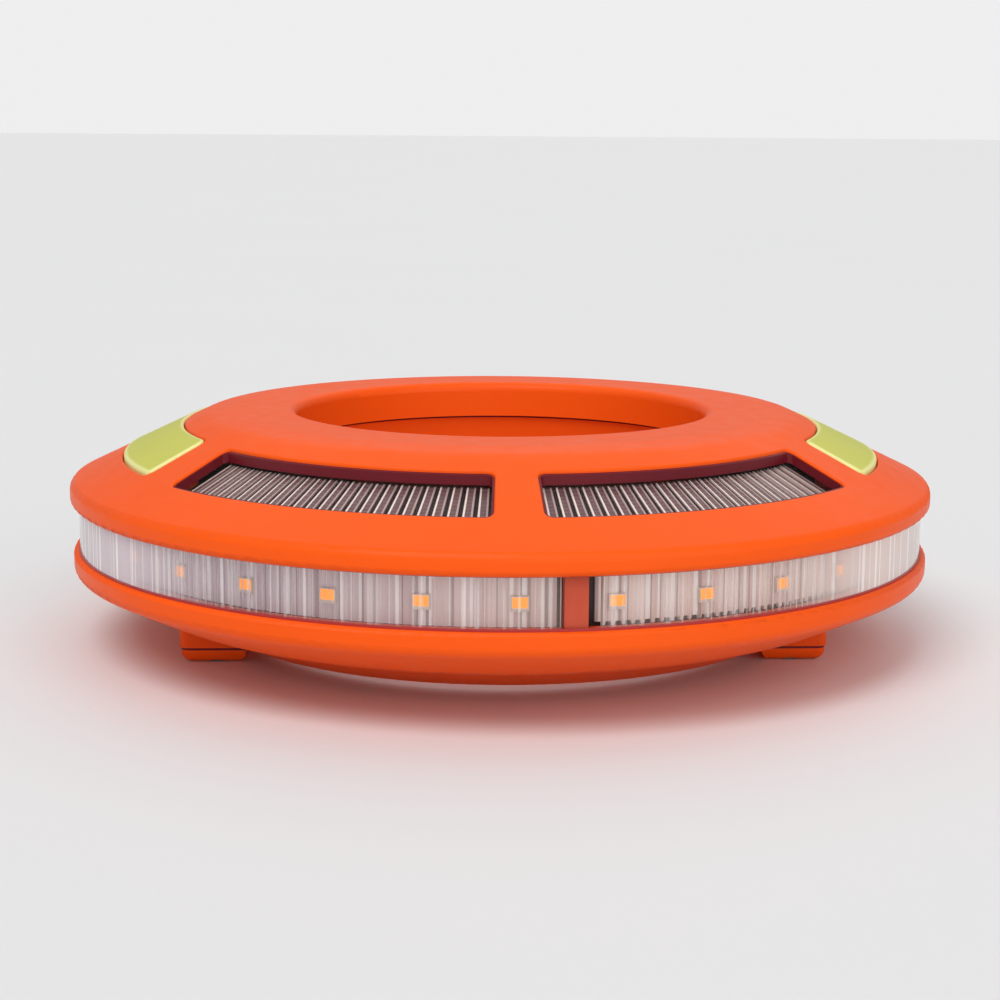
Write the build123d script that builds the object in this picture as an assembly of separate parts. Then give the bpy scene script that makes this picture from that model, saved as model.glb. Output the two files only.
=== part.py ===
from build123d import *
import os
from math import atan, cos, degrees, hypot, radians, sin

# Ring-shaped solar warning light that drops over a traffic cone and rests on its taper.
# Frame: +Z up, Z=0 on the floor under the two battery covers, Z axis on the ring's axis.
# The front is -Y. An azimuth is in degrees from the front, turning towards +X (the right).

# ---------------------------------------------------------------- overall sizes
ring_radius = 140.0          # widest point, on the rim of the top housing
throat_radius = 67.0         # bore that lands on the cone
total_height = 75.0          # floor to the top of the lip
wall = 2.5                   # both housings
edge_round = 0.6             # small moulded edges
opening_round = 0.7          # outer edges of the openings
key_round = 0.9              # top edges of the keys

# ---------------------------------------------------------------- levels
cover_height = 4.0           # battery cover, from the floor up
seal_thickness = 0.8         # every flat seal
lens_opening_low = 31.4      # top edge of the bottom housing
lens_opening_high = 46.7     # lower edge of the top housing
lens_grip = 2.0              # depth of lens held in each groove
rim_top = 53.0               # where the slope of the top meets the rim

# ---------------------------------------------------------------- top housing
lip_outer_radius = 88.0      # flat lip round the throat
lip_round = 3.0
shoulder_radius = 96.0       # slope starts here
shoulder_drop = 1.0
throat_land = 9.0            # straight part of the bore
throat_wall = 3.5

# ---------------------------------------------------------------- bottom housing
lower_rim_radius = 139.2
lower_rim_corner = 25.0      # height where the lower rim turns under
belly_radius = 118.0
belly_height = 14.8
heel_radius = 105.0
heel_height = 10.9
skirt_radius = 92.6
sleeve_bottom_radius = 78.0
sleeve_wall = 2.2
sleeve_gap = 1.8             # throat bore to the top of the sleeve

# ---------------------------------------------------------------- lens band
lens_inner_radius = 134.2
lens_thickness = 3.0
lens_side_clearance = 0.3
groove_lip = 2.0
post_width = 6.7             # upright between the two lens halves
post_azimuth = 6.35
post_setback = 0.9           # post face behind the lens face
post_gap = 0.2               # post to the top housing, and to the seal below
lens_gap_left = 1.0
lens_gap_right = 3.8

# ---------------------------------------------------------------- light source
led_count = 30
led_size = 5.0
led_height = 1.6
led_level = 37.6             # centre of the emitters
led_board_thickness = 1.2
led_board_height = 16.8
carrier_inner_radius = 125.4
carrier_thickness = 2.0
carrier_low = 29.0
carrier_high = 50.0

# ---------------------------------------------------------------- solar windows
window_inner_radius = 104.0
window_outer_radius = 123.6
window_start = 3.3
window_end = 54.6
window_corner = 2.5
window_overlap = 1.0         # glazing behind the edge of the opening
gasket_thickness = 0.9
gasket_liner = 0.7           # liner of the opening, part of the gasket
liner_setback = 0.8          # liner starts this far under the outer surface
glazing_thickness = 1.2
cell_thickness = 0.5
panel_thickness = 1.2
cell_strips = 24
cell_share = 0.68            # strip width as a share of its pitch
cell_reach = 0.4             # strips behind the curved edges of the opening
cell_end_margin = 0.5        # azimuth left free at both ends
panel_inset = 0.2            # edge of the glazing to the edge of the board

# ---------------------------------------------------------------- buttons
button_inner_radius = 103.0
button_outer_radius = 123.0
button_span = 54.0
button_corner = 3.0
button_clearance = 0.35
button_proud = 0.5           # cap above the housing
button_skin = 2.2
button_travel = 1.5
flange_width = 1.4
flange_thickness = 1.8
flange_gap = 0.3
stem_radius = 2.3
stem_spread = 17.0           # azimuth of each stem from the button's middle
collar_radius = 4.5
collar_height = 58.5
presser_radius = 3.0
stem_reach = 2.5             # stem below the switch board

# ---------------------------------------------------------------- switches
switch_board_low = 46.0
board_thickness = 1.6
switch_board_span = 46.0
switch_board_inner = 105.0
switch_board_outer = 121.0
switch_screw_spread = 9.0
stem_hole_clearance = 0.4
switch_size = 7.0
switch_height = 4.0
plunger_radius = 1.75
plunger_proud = 1.8
plunger_clearance = 0.15
plunger_length = 3.6
spring_wire = 1.0
spring_turns = 5
spring_clearance = 0.5

# ---------------------------------------------------------------- batteries
box_inner_gap = 0.6          # sleeve's foot to the box
box_half_length = 46.0
box_wall = 2.2
box_corner = 3.0
box_top = 16.5
cell_radius = 9.15
cell_length = 65.0
cell_inner_gap = 0.55        # cell to the box, on the side of the ring's axis
cell_outer_gap = 0.15
cell_floor_gap = 1.25        # cell to the cover
contact_thickness = 0.6
contact_width = 11.0
contact_tab_top = 35.4
contact_rib = 2.0
cover_inset = 0.4
cover_skin = 2.2
cover_round = 3.4
cover_screw_y = 41.0

# ---------------------------------------------------------------- control electronics
control_board_low = 30.0
control_board_inner = 91.0
control_board_outer = 108.0
control_board_span = 44.0
control_screw_spread = 15.0
lead_radius = 1.2
connector_size = (5.0, 7.0, 4.5)

# ---------------------------------------------------------------- screws
screw_radius = 1.5
screw_head_radius = 2.8
screw_head_height = 2.0
screw_clearance = 0.2
pilot_clearance = 0.05
boss_radius = 3.6
counterbore_clearance = 0.4
case_joint_height = 36.0     # bosses of the two housings meet here
outer_screw_radius = 114.0
outer_screw_azimuths = (0.0, 58.5, 121.5, 180.0, 238.5, 301.5)
outer_screw_head = 19.5      # height of the seat of the head
inner_screw_radius = 86.0
inner_screw_azimuths = (30.0, 150.0, 210.0, 330.0)
case_thread = 10.0
board_screw_length = 7.0

# ---------------------------------------------------------------- worked out
plane_bottom = cover_height + seal_thickness
lens_outer_radius = lens_inner_radius + lens_thickness
groove_inner = lens_inner_radius - lens_side_clearance
groove_outer = lens_outer_radius + lens_side_clearance
lens_low = lens_opening_low - lens_grip
lens_high = lens_opening_high + lens_grip
groove_low = lens_low - seal_thickness
groove_high = lens_high + seal_thickness
rim_inner = groove_inner - groove_lip
shoulder_height = total_height - shoulder_drop
slope_tan = (shoulder_height - rim_top) / (ring_radius - shoulder_radius)
slope = degrees(atan(slope_tan))
slope_cos = cos(radians(slope))
land_low = total_height - lip_round - throat_land
sleeve_top = land_low - seal_thickness
sleeve_top_radius = throat_radius + sleeve_gap
carrier_outer_radius = carrier_inner_radius + carrier_thickness
led_board_radius = carrier_outer_radius + led_board_thickness
led_pitch = 360.0 / led_count
spring_radius = stem_radius + spring_clearance + spring_wire / 2
switch_board_top = switch_board_low + board_thickness
switch_top = switch_board_top + switch_height
plunger_top = switch_top + plunger_proud
button_mid_radius = (button_inner_radius + button_outer_radius) / 2
control_board_top = control_board_low + board_thickness
edge_band_inner = min(window_inner_radius, button_inner_radius) - 1.0
edge_band_outer = max(window_outer_radius, button_outer_radius) + 1.0
box_inner_x = sleeve_bottom_radius + sleeve_wall + box_inner_gap
cell_centre_x = box_inner_x + cell_inner_gap + cell_radius
cell_centre_z = cover_skin + cell_floor_gap + cell_radius
box_outer_x = cell_centre_x + cell_radius + cell_outer_gap + box_wall
quarters = ("front_right", "rear_right", "rear_left", "front_left")
sides = (("right", 90.0), ("left", 270.0))


# ---------------------------------------------------------------- helpers
def at(radius, azimuth, height):
    """Location of a point given by its radius, azimuth and height."""
    angle = radians(azimuth)
    return Location((radius * sin(angle), -radius * cos(angle), height))


def facing(radius, azimuth, height):
    """The same place, turned so that its local X points away from the ring's axis."""
    return at(radius, azimuth, height) * Rot(0, 0, azimuth - 90)


def sweep_of(outline, start=0.0, span=360.0):
    """Solid of an outline of (radius, height) turned about Z from one azimuth over a span."""
    return Rot(0, 0, start - 90) * revolve(make_face(Plane.XZ * outline), Axis.Z, span)


def turned(points, radii=0.0, start=0.0, span=360.0):
    """Solid of revolution of a closed polygon with rounded corners."""
    return sweep_of(FilletPolyline(*points, radius=radii, close=True), start, span)


def hoop(inner, outer, low, high, start=0.0, span=360.0):
    """Plain ring, or a part of one."""
    return turned([(inner, low), (outer, low), (outer, high), (inner, high)], 0.0, start, span)


def slope_height(radius):
    """Height of the sloping top surface at a radius."""
    return shoulder_height - (radius - shoulder_radius) * slope_tan


def slope_layer(inner, outer, depth, thickness, start=0.0, span=360.0):
    """Layer that follows the slope, a depth under the top surface measured square to it."""
    upper = depth / slope_cos
    lower = (depth + thickness) / slope_cos
    points = [
        (inner, slope_height(inner) - lower),
        (outer, slope_height(outer) - lower),
        (outer, slope_height(outer) - upper),
        (inner, slope_height(inner) - upper),
    ]
    return turned(points, 0.0, start, span)


def sector(inner, outer, start, end, corner, low, high, grow=0.0):
    """Upright block over a ring sector with rounded corners, grown evenly by a distance."""
    r_in = inner - grow
    r_out = outer + grow
    turn = degrees(grow / ((inner + outer) / 2))
    first = start - turn - 90
    span = end - start + 2 * turn
    near = CenterArc((0, 0), r_in, first, span)
    far = CenterArc((0, 0), r_out, first, span)
    outline = Curve() + [near, far, Line(near @ 0, far @ 0), Line(near @ 1, far @ 1)]
    face = fillet(make_face(outline).vertices(), max(corner + grow, edge_round))
    return Pos(0, 0, low) * extrude(face, high - low)


def under_slope(inner, outer, depth):
    """Everything below the sloping top, from a depth down."""
    return slope_layer(inner, outer, depth, total_height)


def post(radius, low, high):
    """Upright cylinder on the local origin."""
    return Pos(0, 0, (low + high) / 2) * Cylinder(radius, high - low)


def block(x, y, low, high):
    """Upright block on the local origin."""
    return Pos(0, 0, (low + high) / 2) * Box(x, y, high - low)


def screw(head_seat, length):
    """Pan-head screw driven upwards; its head hangs under the seat and has a cross slot."""
    head = post(screw_head_radius, head_seat - screw_head_height, head_seat)
    head = fillet(head.edges().group_by(Axis.Z)[0], edge_round)
    shank = post(screw_radius, head_seat, head_seat + length)
    slot_low = head_seat - screw_head_height
    cross = block(0.8, 3.2, slot_low, slot_low + 0.9) + block(3.2, 0.8, slot_low, slot_low + 0.9)
    return head + shank - cross


def board_screw(board_top):
    """Pan-head screw driven downwards through a board."""
    return Pos(0, 0, board_top) * Rot(180, 0, 0) * screw(0.0, board_screw_length)


def group(pieces):
    """Separate solids that share a node."""
    return Compound(children=[solid for piece in pieces for solid in piece.solids()])


# ---------------------------------------------------------------- housings
def top_shell():
    """Dished top with its lip, rim and the groove for the lens."""
    under = wall / slope_cos
    points = [
        (throat_radius, land_low),
        (throat_radius, total_height),
        (lip_outer_radius, total_height),
        (shoulder_radius, shoulder_height),
        (ring_radius, rim_top),
        (ring_radius, lens_opening_high),
        (groove_outer, lens_opening_high),
        (groove_outer, groove_high),
        (groove_inner, groove_high),
        (groove_inner, lens_opening_high),
        (rim_inner, lens_opening_high),
        (rim_inner, slope_height(rim_inner) - under),
        (shoulder_radius - 1.0, slope_height(shoulder_radius - 1.0) - under),
        (lip_outer_radius, total_height - wall),
        (throat_radius + throat_wall, total_height - wall),
        (throat_radius + throat_wall, land_low),
    ]
    radii = [0, lip_round, 12.0, 12.0, 3.2, 2.0, 0, 0, 0, 0, 0, 2.0, 8.0, 8.0, 1.5, 0]
    return turned(points, radii)


def opening_edges(shell):
    """Edges where the walls of the openings meet the sloping top."""
    edges = []
    for edge in shell.edges():
        middle = edge @ 0.5
        radius = hypot(middle.X, middle.Y)
        on_slope = abs(middle.Z - slope_height(radius)) < 0.05
        if on_slope and edge_band_inner < radius < edge_band_outer and abs(middle.X) > 1.0:
            edges.append(edge)
    return edges


def case_bosses(radius, azimuths, outer_size, low, high):
    """Upright bosses for the case screws of one circle."""
    bosses = Part()
    for azimuth in azimuths:
        bosses += at(radius, azimuth, 0) * post(outer_size, low, high)
    return bosses


def top_housing():
    """Top shell with openings for the windows and buttons, screw bosses and a clamp rib."""
    shell = top_shell()
    below = under_slope(shoulder_radius, ring_radius, wall / 2)
    inside = hoop(carrier_inner_radius, carrier_outer_radius, carrier_high, total_height)
    inside += case_bosses(
        outer_screw_radius, outer_screw_azimuths, boss_radius, case_joint_height, total_height)
    shell += inside & below
    plateau = total_height - wall / 2
    shell += case_bosses(inner_screw_radius, inner_screw_azimuths, boss_radius, case_joint_height, plateau)
    pilot_top = case_joint_height + case_thread + 1
    pilot_size = screw_radius + pilot_clearance
    shell -= case_bosses(outer_screw_radius, outer_screw_azimuths, pilot_size, 0, pilot_top)
    shell -= case_bosses(inner_screw_radius, inner_screw_azimuths, pilot_size, 0, pilot_top)
    for index in range(len(quarters)):
        shell -= window_block(index, 0.0)
    for _, middle in sides:
        shell -= button_block(middle, 0.0)
    return fillet(opening_edges(shell), opening_round).solid()


def underside():
    """Outline of the underside, from the sleeve's foot out to the rim, with its rounding."""
    points = [
        (sleeve_bottom_radius, plane_bottom),
        (skirt_radius, plane_bottom),
        (heel_radius, heel_height),
        (belly_radius, belly_height),
        (lower_rim_radius, lower_rim_corner),
        (lower_rim_radius, lens_opening_low),
    ]
    return points, [1.0, 2.0, 6.0, 10.0, 3.2, 1.2]


def bottom_envelope():
    """Everything above the underside and outside the sleeve's bore."""
    points, radii = underside()
    top = [(lower_rim_radius, total_height), (sleeve_top_radius, total_height)]
    foot = [(sleeve_top_radius, sleeve_top)]
    return turned(points[:-1] + top + foot, radii[:-1] + [0, 0, 0])


def bottom_shell():
    """Dished underside with its rim, the lens groove and the tapered sleeve for the cone."""
    rim_slope = (lower_rim_corner - belly_height) / (lower_rim_radius - belly_radius)
    lift = wall * hypot(1.0, rim_slope)
    floor_top = plane_bottom + wall
    sleeve_slope = (sleeve_bottom_radius - sleeve_top_radius) / (sleeve_top - plane_bottom)
    sleeve_foot = sleeve_bottom_radius - wall * sleeve_slope + sleeve_wall
    points, radii = underside()
    inner_points = [
        (groove_outer, lens_opening_low),
        (groove_outer, groove_low),
        (groove_inner, groove_low),
        (groove_inner, lens_opening_low),
        (rim_inner, lens_opening_low),
        (rim_inner, belly_height + lift + (rim_inner - belly_radius) * rim_slope),
        (belly_radius, belly_height + lift),
        (heel_radius - 0.5, heel_height + lift),
        (skirt_radius - 1.0, floor_top),
        (sleeve_foot, floor_top),
        (sleeve_top_radius + sleeve_wall, sleeve_top),
        (sleeve_top_radius, sleeve_top),
    ]
    return turned(points + inner_points, radii + [0, 0, 0, 0, 0, 1.5, 8.0, 4.0, 2.0, 1.0, 0, 0])


def battery_box(side):
    """Walls of one battery box, under the bottom housing, with screw bosses at its ends."""
    width = box_outer_x - box_inner_x
    middle = (box_outer_x + box_inner_x) / 2
    body = Pos(middle, 0, 0) * block(width, 2 * box_half_length, plane_bottom, box_top)
    body = fillet(body.edges().filter_by(Axis.Z).group_by(Axis.X)[-1], box_corner)
    return Rot(0, 0, side - 90) * body


def battery_cavity(side):
    """Room inside one battery box and the opening that its battery goes in by."""
    inner_x = box_inner_x
    outer_x = box_outer_x - box_wall
    middle = (inner_x + outer_x) / 2
    half = box_half_length - box_wall
    opening_half = cell_length / 2 + contact_thickness + 0.3
    room = Pos(middle, 0, 0) * block(outer_x - inner_x, 2 * half, plane_bottom + wall, box_top + 12)
    opening = Pos(middle, 0, 0) * block(outer_x - inner_x, 2 * opening_half, 0, plane_bottom + wall)
    return Rot(0, 0, side - 90) * (room + opening)


def battery_ribs(side):
    """Two ribs that hold the contacts against the ends of the battery."""
    rib_y = cell_length / 2 + contact_thickness + contact_rib / 2
    high = cell_centre_z + 6.0
    ribs = Part()
    for y in (-rib_y, rib_y):
        ribs += Pos(cell_centre_x, y, 0) * block(contact_width + 4, contact_rib, plane_bottom + 1, high)
    return Rot(0, 0, side - 90) * ribs


def cover_screw_boss(side, y):
    """Boss for one cover screw."""
    return Rot(0, 0, side - 90) * Pos(cell_centre_x, y, 0) * post(boss_radius, plane_bottom, box_top)


def cover_screw_pilot(side, y):
    """Hole for one cover screw."""
    pilot = post(screw_radius + pilot_clearance, plane_bottom - 1, plane_bottom + 10)
    return Rot(0, 0, side - 90) * Pos(cell_centre_x, y, 0) * pilot


def seam_posts():
    """Uprights between the lens halves, one near the front and one behind."""
    half = degrees(post_width / 2 / lens_outer_radius)
    inner = rim_inner + groove_lip / 4
    face = lens_outer_radius - post_setback
    high = lens_opening_high - post_gap
    posts = Part()
    for turn in (0.0, 180.0):
        posts += hoop(inner, face, lens_low + post_gap, high, post_azimuth + turn - half, 2 * half)
    return posts


def bottom_insides():
    """Bosses, board posts and the carrier rib that stand on the bottom housing's floor."""
    size = boss_radius + 1.4
    low = plane_bottom + 1.0
    inside = hoop(carrier_inner_radius, carrier_outer_radius, low, carrier_low)
    inside += case_bosses(outer_screw_radius, outer_screw_azimuths, size, low, case_joint_height)
    inside += case_bosses(inner_screw_radius, inner_screw_azimuths, size, low, case_joint_height)
    for place, top in board_post_places():
        inside += place * post(boss_radius - 0.6, low, top)
    return inside & bottom_envelope()


def bottom_housing():
    """Bottom shell with battery boxes, bosses, board posts, the carrier rib and seam posts."""
    shell = bottom_shell()
    for _, side in sides:
        shell += battery_box(side)
    for _, side in sides:
        shell -= battery_cavity(side)
    for _, side in sides:
        shell += battery_ribs(side)
        for y in (-cover_screw_y, cover_screw_y):
            shell += cover_screw_boss(side, y)
            shell -= cover_screw_pilot(side, y)
    shell += bottom_insides()
    shell += seam_posts()
    for azimuth in outer_screw_azimuths:
        shell -= at(outer_screw_radius, azimuth, 0) * case_screw_hole(outer_screw_head)
    for azimuth in inner_screw_azimuths:
        shell -= at(inner_screw_radius, azimuth, 0) * case_screw_hole(inner_screw_head())
    for place, top in board_post_places():
        pilot = post(screw_radius + pilot_clearance, top - board_screw_length - 0.5, top + 1)
        shell -= place * pilot
    return shell.solid()


def inner_screw_head():
    """Seat of the inner case screws' heads, sunk just under the bottom plane."""
    return plane_bottom + screw_head_height + 1.0


def case_screw_hole(seat):
    """Clearance hole and counterbore for a case screw driven from below."""
    hole = post(screw_radius + screw_clearance, 0, case_joint_height + 1)
    return hole + post(screw_head_radius + counterbore_clearance, 0, seat)


def board_post_places():
    """Place and height of each post that carries a board."""
    places = []
    for _, side in sides:
        for offset in (-switch_screw_spread, switch_screw_spread):
            places.append((at(button_mid_radius, side + offset, 0), switch_board_low))
    middle = (control_board_inner + control_board_outer) / 2
    for offset in (-control_screw_spread, control_screw_spread):
        places.append((at(middle, 180 + offset, 0), control_board_low))
    return places


# ---------------------------------------------------------------- lens band
def lens_ends():
    """First azimuth and span of the right lens half; the left one is half a turn further on."""
    half = degrees(post_width / 2 / lens_outer_radius)
    start = post_azimuth + half + degrees(lens_gap_right / lens_outer_radius)
    end = post_azimuth + 180 - half - degrees(lens_gap_left / lens_outer_radius)
    return start, end - start


def lens(turn):
    """One half of the clear lens band."""
    start, span = lens_ends()
    return hoop(lens_inner_radius, lens_outer_radius, lens_low, lens_high, start + turn, span)


def led_board(turn):
    """Half-round strip board behind one lens half."""
    start, span = lens_ends()
    low = led_level - led_board_height / 2 + 1.5
    return hoop(carrier_outer_radius, led_board_radius, low, low + led_board_height, start + turn, span)


def leds(turn):
    """Square surface-mounted emitters of one strip board."""
    pieces = []
    start, _ = lens_ends()
    first = led_pitch * int(start / led_pitch + 1)
    for index in range(led_count // 2):
        place = facing(led_board_radius - 0.05, first + turn + index * led_pitch, led_level)
        body = Pos(led_height / 2 + 0.05, 0, 0) * Box(led_height, led_size, led_size)
        pieces.append(place * body)
    return group(pieces)


# ---------------------------------------------------------------- solar windows
def window_span(index):
    """First and last azimuth of a window opening; each half of the ring is mirrored."""
    spans = (
        (window_start, window_end),
        (180 - window_end, 180 - window_start),
        (180 + window_start, 180 + window_end),
        (360 - window_end, 360 - window_start),
    )
    return spans[index]


def window_block(index, grow):
    """Upright block over a window opening, grown by an overlap."""
    start, end = window_span(index)
    args = (window_inner_radius, window_outer_radius, start, end, window_corner)
    return sector(*args, case_joint_height, total_height, grow)


def window_layer(index, grow, depth, thickness):
    """Layer of a window's stack, which follows the slope."""
    reach = window_overlap + 1
    layer = slope_layer(window_inner_radius - reach, window_outer_radius + reach, depth, thickness)
    return layer & window_block(index, grow)


def window_gasket(index):
    """Seal between the housing and the glazing, with a liner that stands in the opening."""
    frame = window_layer(index, window_overlap, wall, gasket_thickness)
    frame += window_layer(index, 0.0, liner_setback, wall - liner_setback + gasket_thickness)
    return frame - window_block(index, -gasket_liner)


def window_glazing(index):
    """Clear cover of one solar panel."""
    return window_layer(index, window_overlap, wall + gasket_thickness, glazing_thickness)


def cell_depth():
    """Depth of the face of the solar cells under the top surface."""
    return wall + gasket_thickness + glazing_thickness


def solar_cells(index):
    """Narrow radial strips of solar cell, side by side."""
    start, end = window_span(index)
    pitch = (end - start - 2 * cell_end_margin) / cell_strips
    inner = window_inner_radius - cell_reach
    outer = window_outer_radius + cell_reach
    strips = []
    for strip in range(cell_strips):
        first = start + cell_end_margin + (strip + (1 - cell_share) / 2) * pitch
        strips.append(slope_layer(inner, outer, cell_depth(), cell_thickness, first, pitch * cell_share))
    return group(strips)


def solar_panel(index):
    """Board that carries the solar cells."""
    depth = cell_depth() + cell_thickness
    return window_layer(index, window_overlap - panel_inset, depth, panel_thickness)


# ---------------------------------------------------------------- buttons
def button_block(middle, grow, low=case_joint_height, high=total_height):
    """Upright block over a button opening, grown by a clearance or an overlap."""
    start = middle - button_span / 2
    end = middle + button_span / 2
    args = (button_inner_radius, button_outer_radius, start, end, button_corner)
    return sector(*args, low, high, grow)


def button_pillars(middle):
    """Guide stems with spring collars, and the presser in the middle."""
    pillars = at(button_mid_radius, middle, 0) * post(presser_radius, plunger_top, total_height)
    for offset in (-stem_spread, stem_spread):
        place = at(button_mid_radius, middle + offset, 0)
        pillars += place * post(collar_radius, collar_height, total_height)
        pillars += place * post(stem_radius, switch_board_low - stem_reach, total_height)
    return pillars


def button(middle):
    """Long curved key with a retaining flange, two guide stems and a presser."""
    reach = flange_width + 1
    r_in = button_inner_radius - reach
    r_out = button_outer_radius + reach
    flange_depth = wall + flange_gap
    flange_low = flange_depth + flange_thickness
    cap = slope_layer(r_in, r_out, -button_proud, button_proud + flange_low)
    cap = (cap & button_block(middle, -button_clearance)).solid()
    cap = fillet(cap.faces().sort_by(Axis.Z)[-1].edges(), key_round)
    cap += slope_layer(r_in, r_out, flange_depth, flange_thickness) & button_block(middle, flange_width)
    hollow = slope_layer(r_in, r_out, button_skin - button_proud, flange_low)
    cap -= hollow & button_block(middle, -button_clearance - button_skin)
    cap += button_pillars(middle) & under_slope(r_in, r_out, button_skin / 2 - button_proud)
    return cap.solid()


def button_springs(middle):
    """Two coil springs round the stems, from the switch board up to the collars."""
    low = switch_board_top + spring_wire / 2
    high = collar_height - spring_wire / 2
    pitch = (high - low) / spring_turns
    path = Helix(pitch, high - low, spring_radius)
    wire = sweep(Plane(origin=path @ 0, z_dir=path % 0) * Circle(spring_wire / 2), path)
    coils = []
    for offset in (-stem_spread, stem_spread):
        coils.append(at(button_mid_radius, middle + offset, low) * wire)
    return group(coils)


def switch_plunger(middle):
    """Plunger of the tact switch, under the button's presser."""
    low = plunger_top - plunger_length
    return at(button_mid_radius, middle, 0) * post(plunger_radius, low, plunger_top)


def tact_switch(middle):
    """Body of the tact switch, open for its plunger."""
    body = block(switch_size, switch_size, switch_board_top, switch_top)
    sink = plunger_top - plunger_length - button_travel - 0.2
    body -= post(plunger_radius + plunger_clearance, sink, switch_top + 1)
    return facing(button_mid_radius, middle, 0) * body


def switch_board(middle):
    """Curved board under a button, with holes for the stems and screws."""
    start = middle - switch_board_span / 2
    end = middle + switch_board_span / 2
    args = (switch_board_inner, switch_board_outer, start, end, 2.0)
    board = sector(*args, switch_board_low, switch_board_top)
    for offset in (-stem_spread, stem_spread):
        hole = post(stem_radius + stem_hole_clearance, 0, total_height)
        board -= at(button_mid_radius, middle + offset, 0) * hole
    for offset in (-switch_screw_spread, switch_screw_spread):
        hole = post(screw_radius + screw_clearance, 0, total_height)
        board -= at(button_mid_radius, middle + offset, 0) * hole
    return board


# ---------------------------------------------------------------- batteries
def battery(side):
    """Round lithium cell lying along the ring."""
    cell = Rot(90, 0, 0) * Cylinder(cell_radius, cell_length)
    cell = fillet(cell.edges(), 0.8)
    return Rot(0, 0, side - 90) * Pos(cell_centre_x, 0, cell_centre_z) * cell


def battery_contacts(side):
    """Plates at both ends of the battery, with a tab that stands up for the lead."""
    high = cell_centre_z + 5.5
    y = cell_length / 2 + contact_thickness / 2
    pieces = []
    for sign in (-1, 1):
        plate = block(contact_width, contact_thickness, cell_centre_z - 5.0, high)
        plate += block(4.0, contact_thickness, high, contact_tab_top)
        pieces.append(Rot(0, 0, side - 90) * Pos(cell_centre_x, sign * y, 0) * plate)
    return group(pieces)


def cover_block(side, low, high, grow):
    """Block with the outline of a battery cover."""
    inner_x = box_inner_x - grow
    outer_x = box_outer_x + grow
    half = box_half_length + grow
    body = Pos((inner_x + outer_x) / 2, 0, 0) * block(outer_x - inner_x, 2 * half, low, high)
    body = fillet(body.edges().filter_by(Axis.Z).group_by(Axis.X)[-1], box_corner)
    return Rot(0, 0, side - 90) * body


def battery_cover(side):
    """Screwed-on cover that the light also stands on."""
    cover = cover_block(side, 0.0, cover_height, -cover_inset)
    cover = fillet(cover.edges().group_by(Axis.Z)[0], cover_round)
    half = cell_length / 2 + contact_thickness
    inner_x = cell_centre_x - cell_radius
    pocket = Pos(cell_centre_x, 0, 0) * block(2 * (cell_centre_x - inner_x), 2 * half, cover_skin, 10)
    cover -= Rot(0, 0, side - 90) * pocket
    for y in (-cover_screw_y, cover_screw_y):
        hole = post(screw_radius + screw_clearance, -1, 10)
        hole += post(screw_head_radius + counterbore_clearance, -1, cover_screw_seat())
        cover -= Rot(0, 0, side - 90) * Pos(cell_centre_x, y, 0) * hole
    return cover


def cover_screw_seat():
    """Seat of a cover screw's head, which stays clear of the floor."""
    return screw_head_height + 0.5


def cover_gasket(side):
    """Flat seal between a battery cover and its box."""
    seal = cover_block(side, cover_height, plane_bottom, -cover_inset)
    half = cell_length / 2 + contact_thickness + 0.3
    outer_x = box_outer_x - box_wall
    inner_x = box_inner_x + 1.5
    hole = Pos((inner_x + outer_x) / 2, 0, 0) * block(outer_x - inner_x, 2 * half, 0, 10)
    for y in (-cover_screw_y, cover_screw_y):
        hole += Pos(cell_centre_x, y, 0) * post(screw_radius + screw_clearance, 0, 10)
    return seal - Rot(0, 0, side - 90) * hole


# ---------------------------------------------------------------- control electronics
def control_board():
    """Curved board at the back that charges the batteries and drives the lights."""
    start = 180 - control_board_span / 2
    end = 180 + control_board_span / 2
    args = (control_board_inner, control_board_outer, start, end, 1.5)
    board = sector(*args, control_board_low, control_board_top)
    middle = (control_board_inner + control_board_outer) / 2
    for offset in (-control_screw_spread, control_screw_spread):
        hole = post(screw_radius + screw_clearance, 0, total_height)
        board -= at(middle, 180 + offset, 0) * hole
    return board


def control_chips():
    """Charger, driver and controller chips with their coil."""
    middle = (control_board_inner + control_board_outer) / 2
    top = control_board_top
    sizes = ((172.0, 6.0, 6.0, 1.4), (180.0, 7.0, 7.0, 1.2), (185.5, 5.0, 4.0, 1.4), (175.8, 3.0, 2.0, 1.0))
    chips = []
    for azimuth, x, y, height in sizes:
        chips.append(facing(middle, azimuth, 0) * block(x, y, top, top + height))
    coil = post(3.2, top, top + 3.5)
    chips.append(at(middle, 189.5, 0) * coil)
    return group(chips)


def lead_radius_from_axis():
    """Radius of the leads, which pass through the middle of the contact tabs."""
    return hypot(cell_centre_x, cell_length / 2 + contact_thickness)


def connectors():
    """Sockets at both ends of the control board."""
    length, width, height = connector_size
    pieces = []
    for azimuth in (180 - control_board_span / 2 + 2.5, 180 + control_board_span / 2 - 2.5):
        body = block(width, length, control_board_top, control_board_top + height)
        pieces.append(facing(lead_radius_from_axis(), azimuth, 0) * body)
    return group(pieces)


def battery_lead(side):
    """Insulated lead from the rear contact of a battery to the control board."""
    radius = lead_radius_from_axis()
    reach = degrees(atan((cell_length / 2 + contact_thickness) / cell_centre_x))
    socket = control_board_span / 2 - 2.5 + degrees(connector_size[0] / 2 / radius)
    start = 90 + reach + 0.6
    end = 180 - socket - 0.2
    if side > 180:
        start, end = 360 - end, 360 - start
    outline = Pos(radius, contact_tab_top - 1.4) * Circle(lead_radius)
    return Rot(0, 0, start - 90) * revolve(Plane.XZ * outline, Axis.Z, end - start)


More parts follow.
